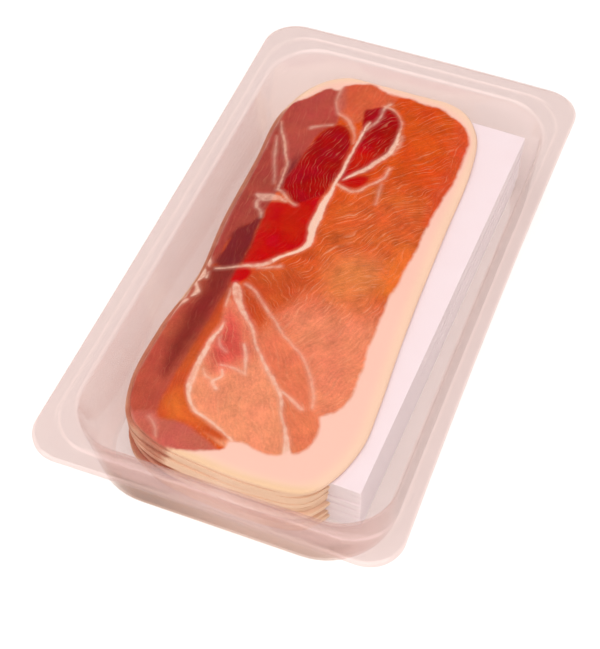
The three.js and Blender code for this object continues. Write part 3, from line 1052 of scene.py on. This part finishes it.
@dataclass
class HamMap:
    """Works out, for any place in the ham, how lean, fat, seamed and fibrous it is."""

    muscles: tuple[Muscle, ...] = MUSCLES
    seams: tuple[Seam, ...] = SEAMS
    base: Muscle = Muscle(Lean.RUMP, (), heading=72, bend=170, marbling=0.75)
    curve_steps: int = 5
    seam_reach: float = 3.0  # past this the fat of a seam is no longer measured
    warp_slow: float = 0.45
    warp_quick: float = 0.1

    def paint(self, data: bpy.types.Mesh, rind: Callable[[np.ndarray], np.ndarray]) -> None:
        """Writes the ham's colours and depths on to a mesh.

        Args:
            data: The mesh, in metres.
            rind: Gives, for points in millimetres, how much of the outer side shows there, 0 to 1.
        """
        points = np.empty(len(data.vertices) * 3, np.float32)
        data.vertices.foreach_get("co", points)
        points = points.reshape(-1, 3).astype(float) / MM
        x, y = points[:, 0] - CENTRING[0], points[:, 1] - CENTRING[1]
        lean, grain = self._lean(*self.warped(x, y))
        fat, tone = self.fat(x, y)
        outer = rind(points)[:, None]
        tone = blend(tone, linear(Fat.RIND.value)[:3], outer)
        lean = blend(lean, linear(Fat.CRUST.value)[:3], 0.8 * outer)
        self._write(data, "lean", "FLOAT_COLOR", np.column_stack([lean, np.ones(len(x))]))
        self._write(data, "fat_tone", "FLOAT_COLOR", np.column_stack([tone, np.ones(len(x))]))
        self._write(data, "fat", "FLOAT_VECTOR", fat)
        self._write(data, "grain", "FLOAT_VECTOR", grain)

    def warped(self, x: np.ndarray, y: np.ndarray) -> tuple[np.ndarray, np.ndarray]:
        """Moves places about a little, so that no muscle or seam keeps a drawn line's evenness."""
        slow, quick = self.warp_slow, self.warp_quick
        return (
            x + slow * waves(x, y, 15, 11) + quick * waves(x, y, 4.5, 12),
            y + slow * waves(x, y, 15, 13) + quick * waves(x, y, 4.5, 14),
        )

    def _write(self, data: bpy.types.Mesh, name: str, kind: str, values: np.ndarray) -> None:
        """Stores one row of values for each vertex."""
        layer = data.attributes.new(name, kind, "POINT")
        layer.data.foreach_set(
            "color" if kind == "FLOAT_COLOR" else "vector", values.astype(np.float32).ravel(),
        )

    def _grain(self, muscle: Muscle, x: np.ndarray, y: np.ndarray) -> np.ndarray:
        """Place along and across a muscle's fibres, with how marbled it is."""
        heading = math.radians(muscle.heading)
        if muscle.outline:
            middle = np.mean(muscle.outline, axis=0)
            x, y = x - middle[0], y - middle[1]
        along = x * math.cos(heading) + y * math.sin(heading)
        across = -x * math.sin(heading) + y * math.cos(heading)
        if muscle.bend:
            side = across + muscle.bend
            swing = np.arctan2(along, np.abs(side))
            along, across = swing * abs(muscle.bend), np.hypot(along, side)
        return np.column_stack([along, across, np.full(x.shape, muscle.marbling)])

    def _lean(self, x: np.ndarray, y: np.ndarray) -> tuple[np.ndarray, np.ndarray]:
        """Colour of the lean, and its grain, with each muscle laid over those before it."""
        colour = np.tile(np.array(linear(self.base.lean.value)[:3]), (len(x), 1))
        grain = self._grain(self.base, x, y)
        for muscle in self.muscles:
            outline = curve_through(muscle.outline, True, self.curve_steps)
            depth = depth_inside(x, y, outline, muscle.soft + 1)
            share = smooth(depth / (2 * muscle.soft) + 0.5)[:, None]
            colour = blend(colour, linear(muscle.lean.value)[:3], share)
            own = self._grain(muscle, x, y)
            inside = share[:, 0] > 0.5
            grain[inside, :2] = own[inside, :2]
            grain[:, 2] = grain[:, 2] * (1 - share[:, 0]) + muscle.marbling * share[:, 0]
        grain[:, 1] += 1.6 * waves(x, y, 24, 21) + 0.4 * waves(x, y, 7, 22)
        return colour, grain

    def fat(self, x: np.ndarray, y: np.ndarray) -> tuple[np.ndarray, np.ndarray]:
        """Works out where the fat lies.

        Args:
            x: Places along X.
            y: Places along Y.

        Returns:
            Depth inside the fat cover, depth inside a seam and that seam's strength; and the fat's
            colour.
        """
        outline = curve_through(SLICE_OUTLINE, True, self.curve_steps)
        edge = depth_inside(x, y, outline)
        x, y = self.warped(x, y)
        cover = -depth_inside(x, y, curve_through(LEAN_OUTLINE, True, self.curve_steps))
        seam = np.full(x.shape, -self.seam_reach)
        strength = np.full(x.shape, 0.5)
        for one in self.seams:
            depth = self._seam_depth(x, y, curve_through(one.path, False, self.curve_steps))
            nearer = depth > seam
            seam[nearer] = depth[nearer]
            strength[nearer] = one.strength
        tone = np.tile(np.array(linear(Fat.SEAM.value)[:3]), (len(x), 1))
        tone = blend(tone, linear(Fat.COVER.value)[:3], smooth(cover / 1.5 + 0.5)[:, None])
        aged = smooth((7.0 - edge) / 6.0) * smooth(cover / 3.0)
        tone = blend(tone, linear(Fat.COVER_EDGE.value)[:3], aged[:, None])
        near_end = smooth((-104 - y) / 8) * smooth((4.5 - edge) / 4.0)
        tone = blend(tone, linear(Fat.GREASE.value)[:3], 0.8 * near_end[:, None])
        return np.column_stack([cover, seam, strength]), tone

    def _seam_depth(self, x: np.ndarray, y: np.ndarray, path: np.ndarray) -> np.ndarray:
        """How deep each place lies inside a seam of changing width."""
        near = near_to(x, y, path, self.seam_reach + path[:, 2].max())
        px, py = x[near], y[near]
        best = np.full(px.shape, -self.seam_reach)
        for start, end in zip(path, path[1:]):
            along, away = to_segment(px, py, start, end)
            best = np.maximum(best, (start[2] + (end[2] - start[2]) * along) / 2 - away)
        depth = np.full(x.shape, -self.seam_reach)
        depth[near] = best
        return depth


# ---- the stack of slices and sheets ----------------------------------------------------------------


class Wobble:
    """The same run of numbers, between -1 and 1, that places the slices in the frame."""

    def __init__(self, seed: int) -> None:
        """Starts the run.

        Args:
            seed: Chooses the run.
        """
        self.state = seed

    def __call__(self) -> float:
        """The next number."""
        self.state = self.state * 16807 % 2147483647
        return self.state / 2147483647 * 2 - 1


# Half of a lower slice's edge: share of the outline, millimetres out of it and above the slice's top.
EDGE_PROFILE: tuple[tuple[float, float, float], ...] = (
    (0.55, 0.0, 0.0), (0.86, 0.0, 0.0), (0.955, 0.0, 0.0), (1.0, -0.06, 0.46), (1.0, -0.01, 0.44),
    (1.0, 0.0, 0.2), (1.0, -0.09, -0.14), (1.0, 0.0, -0.36),
)
# The top slice below its cut face: share of the outline, and height as a share of its thickness.
SKIRT_PROFILE: tuple[tuple[float, float], ...] = (
    (1.0, 0.2), (0.9996, 0.05), (0.998, 0.0), (0.97, 0.0), (0.88, 0.0), (0.75, 0.0), (0.5, 0.0),
)


@dataclass
class Stack:
    """Slices of ham with a paper sheet between each and the next, standing out on the right."""

    tray: Tray
    ham: HamMap = field(default_factory=HamMap)
    sheet_count: int = 12
    slice_gauge: float = 1.55
    top_gauge: float = 1.9
    leaf_gauge: float = 0.3
    layer_gap: float = 0.275
    rest_gap: float = 0.3
    wall_clearance: float = 1.0
    leaf_left: float = -20
    leaf_right: float = 56.2
    leaf_near: float = -101.4
    leaf_far: float = 118
    leaf_turn: float = -1.35
    leaves: int = 3  # leaves drawn for each sheet of the frame
    flank_from: float = -30
    flank_to: float = -60
    flank_drop: float = 6.5
    seed: int = 4711
    # The top slice's cut face.
    face_columns: int = 170
    face_rows: int = 380
    face_middle: tuple[float, float] = (-6.0, 3.0)
    edge_round: float = 1.1  # how far in from its edge the slice rounds over, left and near
    edge_drop: float = 0.6
    thin_round: float = 3.6  # on the right the soft fat thins out on to the paper
    thin_drop: float = 1.35
    swell: float = 0.35  # how far the slice undulates
    groove: float = 0.14  # how far its seams sink in
    top_swell: float = 0.4  # how far its edge hangs on to the slice below
    # The lower slices, of which the edges show.
    rim_points: int = 276
    rim_wander: float = 0.3  # how far a slice's outline wanders in and out

    def __post_init__(self) -> None:
        """Works out the levels of the stack."""
        self.pitch = self.slice_gauge + self.leaf_gauge + 2 * self.layer_gap
        self.floor = self.tray.gauge + self.rest_gap
        self.top = self.floor + self.sheet_count * self.pitch + self.top_gauge
        self.wobble = Wobble(self.seed)

    def level(self, x: np.ndarray, height: float) -> np.ndarray:
        """Height of a level of the stack, which slopes down on the left flank."""
        flank = smooth((self.flank_from - x) / (self.flank_from - self.flank_to))
        share = (height - self.floor) / (self.top - self.floor)
        return height - self.flank_drop * flank * share

    def inside_cavity(self, points: np.ndarray, z: float) -> np.ndarray:
        """Pulls points towards the middle until they are clear of the tray's wall at a height.

        Args:
            points: Places, one row each.
            z: The height.

        Returns:
            The places, moved where they had to be.
        """
        tray = self.tray
        round_off = tray.base_fillet * max(0.0, 1 - math.sqrt(max(0.0, z) / tray.base_fillet))
        inset = tray.wall_draft * (1 - z / tray.height) + tray.gauge + self.wall_clearance + round_off
        radius = tray.cavity_corner + tray.base_corner_gain * (1 - z / tray.height) - inset
        half = np.array([
            tray.flange_width / 2 - tray.side_land - inset,
            tray.flange_length / 2 - tray.end_land - inset,
        ])
        scale = np.ones(len(points))
        for _ in range(200):
            past = np.maximum(np.abs(points * scale[:, None]) - (half - radius), 0)
            out = np.hypot(past[:, 0], past[:, 1]) > radius
            if not out.any():
                break
            scale[out] -= 0.002
        return points * scale[:, None]

    def outline(self, shift: tuple[float, float], steps: int, bottom: float, even: bool) -> np.ndarray:
        """A slice's outline, moved and stretched a little.

        Args:
            shift: How far it lies off the others.
            steps: Points on each stretch of its curve.
            bottom: Height of its underside.
            even: Whether it isn't stretched.

        Returns:
            The outline's points.
        """
        points = [
            (
                x * (1 + (0 if even else 0.005 * self.wobble())) + shift[0],
                y * (1 + (0 if even else 0.003 * self.wobble())) + shift[1],
            )
            for x, y in SLICE_OUTLINE
        ]
        return self.inside_cavity(curve_through(points, True, steps), bottom)

    def build(self) -> list[bpy.types.Object]:
        """Models the slices and sheets from the bottom up.

        Returns:
            The pieces.
        """
        cut = CuredHam("cured_ham_edges").material()
        paper = PaperLeaf().material()
        pieces = []
        for number in range(1, self.sheet_count + 1):
            bottom = self.floor + (number - 1) * self.pitch
            shift = (-1.2 + 0.9 * self.wobble(), 1.6 * self.wobble())
            pieces.append(self._slice(number, bottom, shift, cut))
            turn = math.radians(self.leaf_turn + 0.06 * self.wobble())
            slip = (0.15 * self.wobble(), 0.2 * self.wobble())
            lying = bottom + self.slice_gauge + self.layer_gap
            pieces.append(self._leaf(number, lying, turn, slip, paper))
        pieces.append(self._top_slice())
        return pieces

    def _slice(
        self, number: int, bottom: float, shift: tuple[float, float], cut: bpy.types.Material,
    ) -> bpy.types.Object:
        """One of the lower slices, with a swollen edge that follows the one below it."""
        outline = self.outline(shift, self.rim_points // len(SLICE_OUTLINE), bottom, False)
        count = len(outline)
        travel = np.arange(count) / count * 2 * math.pi
        random = np.random.default_rng(self.seed + number)
        wander = sum(
            math.sqrt(1 / k) * np.sin(k * travel + random.uniform(0, 2 * math.pi))
            for k in range(5, 60, 3)
        )
        wander = wander[:, None] * self.rim_wander / 4
        away = outline / np.linalg.norm(outline, axis=1, keepdims=True)
        bare = self._bare(outline)
        lower_half = tuple(
            (share, out, -self.slice_gauge - lift) for share, out, lift in reversed(EDGE_PROFILE[:-1])
        )
        rings = []
        for share, out, lift in EDGE_PROFILE + lower_half:
            flat = outline * share
            if share == 1.0:
                flat = self.inside_cavity(outline + away * (out + wander), bottom)
            if lift > -self.slice_gauge:
                swell = lift * np.where(lift > 0, bare, 1.0)
            else:
                swell = -self.slice_gauge + (lift + self.slice_gauge) * bare
            z = self.level(flat[:, 0], bottom + self.slice_gauge) + swell
            rings.append(np.column_stack([flat + CENTRING, np.maximum(z, self.floor)]))
        skin = draw_skin(rings)
        name = f"ham_slice_{number:02d}"
        piece = finish_piece(skin, f"slice_{number:02d}", cut, [name], crease=70)
        self.ham.paint(piece.data, lambda points: self._side_share(points, outline))
        return piece

    def _bare(self, flat: np.ndarray) -> np.ndarray:
        """Where slices lie on one another beyond the paper, and swell until they meet."""
        return smooth(np.maximum((self.leaf_near - flat[:, 1]) / 4, (self.leaf_left - flat[:, 0]) / 6))

    def _side_share(self, points: np.ndarray, outline: np.ndarray) -> np.ndarray:
        """How much of the ham's outer side shows at each point: all of it at the very edge."""
        depth = depth_inside(points[:, 0] - CENTRING[0], points[:, 1] - CENTRING[1], outline)
        return smooth((1.2 - depth) / 1.0)

    def _leaf(
        self,
        number: int,
        bottom: float,
        turn: float,
        slip: tuple[float, float],
        paper: bpy.types.Material,
    ) -> bpy.types.Object:
        """One interleaf sheet, flat under the ham and a little uneven where it stands out."""
        half = np.array([self.leaf_right - self.leaf_left, self.leaf_far - self.leaf_near]) / 2
        middle = np.array([self.leaf_right + self.leaf_left, self.leaf_far + self.leaf_near]) / 2
        sheet = bmesh.new()
        for layer in range(self.leaves):
            # The extra leaves are those of the thin slices that one drawn slice stands for.
            level = bottom - layer * self.pitch / self.leaves
            if level < self.floor:
                break
            before = len(sheet.verts)
            bmesh.ops.create_grid(sheet, x_segments=30, y_segments=60, size=1.0)
            corners = list(sheet.verts)[before:]
            flat = np.array([corner.co.xy for corner in corners]) * half
            spin = turn + layer * 0.001
            spun = flat @ np.array([[math.cos(spin), math.sin(spin)], [-math.sin(spin), math.cos(spin)]])
            placed = self.inside_cavity(spun + middle + np.array(slip), level)
            free = smooth((placed[:, 0] - 44) / 8)
            lift = free * 0.12 * waves(placed[:, 0], placed[:, 1], 60, self.seed + 3 * number + layer)
            for corner, (x, y), rise in zip(corners, placed + CENTRING, lift):
                corner.co = Vector((x, y, level + rise)) * MM
        under = bmesh.ops.extrude_face_region(sheet, geom=sheet.faces[:])["geom"]
        lowered = [item for item in under if isinstance(item, bmesh.types.BMVert)]
        bmesh.ops.translate(sheet, verts=lowered, vec=(0.0, 0.0, -self.leaf_gauge * MM))
        bmesh.ops.recalc_face_normals(sheet, faces=sheet.faces)
        name = f"interleaf_{number:02d}"
        return finish_piece(sheet, f"sheet_{number:02d}", paper, [name])

    def _top_slice(self) -> bpy.types.Object:
        """The slice on top: a dense cut face that undulates, with its seams sunk in."""
        bottom = self.floor + self.sheet_count * self.pitch
        outline = self.outline((0.0, 0.0), 10, bottom, True)
        face = bmesh.new()
        bmesh.ops.create_grid(face, x_segments=self.face_columns, y_segments=self.face_rows, size=1.0)
        corners = list(face.verts)
        square = np.array([corner.co.xy for corner in corners])
        flat = self._spread(square, outline)
        x, y = flat[:, 0], flat[:, 1]
        inset = np.maximum(depth_inside(x, y, outline), 0)
        thin = smooth((x - 26) / 10) * smooth((y + 104) / 10)
        over = np.clip(1 - inset / (self.edge_round + (self.thin_round - self.edge_round) * thin), 0, 1)
        drop = self.edge_drop + (self.thin_drop - self.edge_drop) * thin
        fat, _ = self.ham.fat(x, y)
        sunk = smooth((np.maximum(fat[:, 1], -0.6) + 0.6) / 1.2) * fat[:, 2]
        z = self.level(x, self.top) + self.swell * waves(x, y, 55, self.seed)
        z -= self.groove * sunk + drop * (1 - np.sqrt(1 - over ** 2))
        for corner, cx, cy, cz in zip(corners, x + CENTRING[0], y + CENTRING[1], z):
            corner.co = Vector((cx, cy, cz)) * MM
        self._close_underside(face, bottom)
        piece = finish_piece(
            face, "top_slice", CuredHam("cured_ham_face").material(), ["ham_slice_top"],
            crease=70,
        )
        self.ham.paint(piece.data, lambda points: self._side_share(points, outline)
                       * smooth((self.level(points[:, 0], self.top) - points[:, 2] - 0.5) / 0.5)
                       * (1 - 0.85 * smooth((points[:, 0] - 34) / 6)))
        return piece

    def _spread(self, square: np.ndarray, outline: np.ndarray) -> np.ndarray:
        """Spreads a square grid over the outline: each square ring becomes a scaled outline."""
        middle = np.array(self.face_middle)
        half = (outline.max(0) - outline.min(0)) / 2
        edge = (outline - middle) / half
        angles = np.arctan2(edge[:, 1], edge[:, 0])
        order = np.argsort(angles)
        radii = np.hypot(edge[:, 0], edge[:, 1])
        heading = np.arctan2(square[:, 1], square[:, 0])
        reach = np.interp(heading, angles[order], radii[order], period=2 * math.pi)
        corner = np.maximum(np.abs(np.cos(heading)), np.abs(np.sin(heading)))
        return middle + square * (reach * corner)[:, None] * half

    def _close_underside(self, face: bmesh.types.BMesh, bottom: float) -> None:
        """Extrudes the edge of the cut face down and in again, and closes it underneath."""
        edges = [edge for edge in face.edges if edge.is_boundary]
        last = 1.0
        for share, lift in SKIRT_PROFILE:
            fresh, edges = grow_rim(face, edges)
            for vert in fresh:
                x, y = (c * share / last for c in vert.co.xy)
                flat = np.array([[x, y]]) / MM - CENTRING
                height = float(self.level(flat[:, 0], bottom + lift * self.top_gauge)[0])
                if share > 0.99:
                    height -= self.top_swell * float(self._bare(flat)[0])
                vert.co = Vector((x, y, height * MM))
            last = share
        bmesh.ops.contextual_create(face, geom=edges)
        bmesh.ops.recalc_face_normals(face, faces=face.faces)


# ---- the studio ------------------------------------------------------------------------------------


@dataclass
class Studio:
    """Pale floor in an evenly bright room, a weak soft box overhead, and the camera."""

    floor_size: float = 6000
    floor_white: str = "FBFAF9"
    box_size: float = 1400
    box_place: tuple[float, float, float] = (-150, -250, 1300)
    box_power: float = 9.0
    room: float = 0.97
    room_white: str = "FFFDFC"
    flag: float = 0.02  # a black flag hangs where the film would mirror the room to the camera
    flag_heading: tuple[float, float, float] = (-0.2242, 0.5789, 0.7840)
    flag_inner: float = 17  # degrees from its middle
    flag_outer: float = 34
    # The photograph was taken from here: the frame is 600 by 649, with a normal lens.
    lens: float = 85.68
    camera_place: tuple[float, float, float] = (150.68, -422.35, 559.47)
    camera_aim: tuple[float, float, float] = (-2.47, -26.69, 23.57)
    camera_roll: float = 0.197

    def build(self) -> None:
        """Sets the floor, the lights and the camera."""
        self._camera()
        self._floor()
        self._light()
        bpy.context.scene.view_settings.view_transform = "Standard"
        bpy.context.scene.cycles.transparent_max_bounces = 40  # film, flange and walls lie in a row

    def _camera(self) -> None:
        """Points the camera from the photograph's place at the photograph's angle."""
        data = bpy.data.cameras.new("camera")
        data.lens = self.lens
        data.clip_start = 0.01
        camera = put_in_scene("camera", data)
        place, aim = Vector(self.camera_place) * MM, Vector(self.camera_aim) * MM
        turn = (place - aim).to_track_quat("Z", "Y").to_matrix()
        roll = Matrix.Rotation(math.radians(self.camera_roll), 3, "Z")
        camera.matrix_world = Matrix.Translation(place) @ (turn @ roll).to_4x4()
        bpy.context.scene.camera = camera

    def _floor(self) -> None:
        """Lays the pale floor that the pack stands on."""
        mesh = bmesh.new()
        bmesh.ops.create_grid(mesh, x_segments=2, y_segments=2, size=self.floor_size / 2 * MM)
        data = bpy.data.meshes.new("floor")
        mesh.to_mesh(data)
        mesh.free()
        material, nodes = new_material("matt_white_floor")
        matt = nodes.add("BsdfPrincipled", {
            "Base Color": linear(self.floor_white), "Roughness": 0.9, "Specular IOR Level": 0.1,
        })
        nodes.add("OutputMaterial", {"Surface": matt.outputs["BSDF"]})
        data.materials.append(material)
        floor = put_in_scene("floor", data)

    def _light(self) -> None:
        """Hangs the soft box in a bright room that has one dark flag."""
        data = bpy.data.lights.new("soft_box", "AREA")
        data.shape = "SQUARE"
        data.size = self.box_size * MM
        data.energy = self.box_power
        box = put_in_scene("soft_box", data)
        box.location = Vector(self.box_place) * MM
        box.rotation_euler = (-box.location).to_track_quat("-Z", "Y").to_euler()

        world = bpy.data.worlds.new("pale_room")
        world.use_nodes = True
        nodes = NodeMaker(world.node_tree)
        towards = nodes.add("VectorMath", {
            0: nodes.add("TexCoord").outputs["Generated"], 1: self.flag_heading,
        }, operation="DOT_PRODUCT").outputs["Value"]
        outer, inner = (math.cos(math.radians(angle)) for angle in (self.flag_outer, self.flag_inner))
        room = nodes.add("Background", {
            "Color": linear(self.room_white),
            "Strength": nodes.remap(towards, outer, inner, self.room, self.flag, eased=True),
        })
        nodes.add("OutputWorld", {"Surface": room.outputs["Background"]})
        bpy.context.scene.world = world


def main() -> None:
    """Builds the pack piece by piece and sets it in the studio."""
    Studio().build()
    tray = Tray()
    stack = Stack(tray)
    for piece in (tray.build(), LidFilm(tray).build(), *stack.build()):
        log.info("%s rides on %s", piece.name, BODY)


if __name__ == "__main__":
    logging.basicConfig(level=logging.INFO, format="%(name)s %(message)s")
    main()
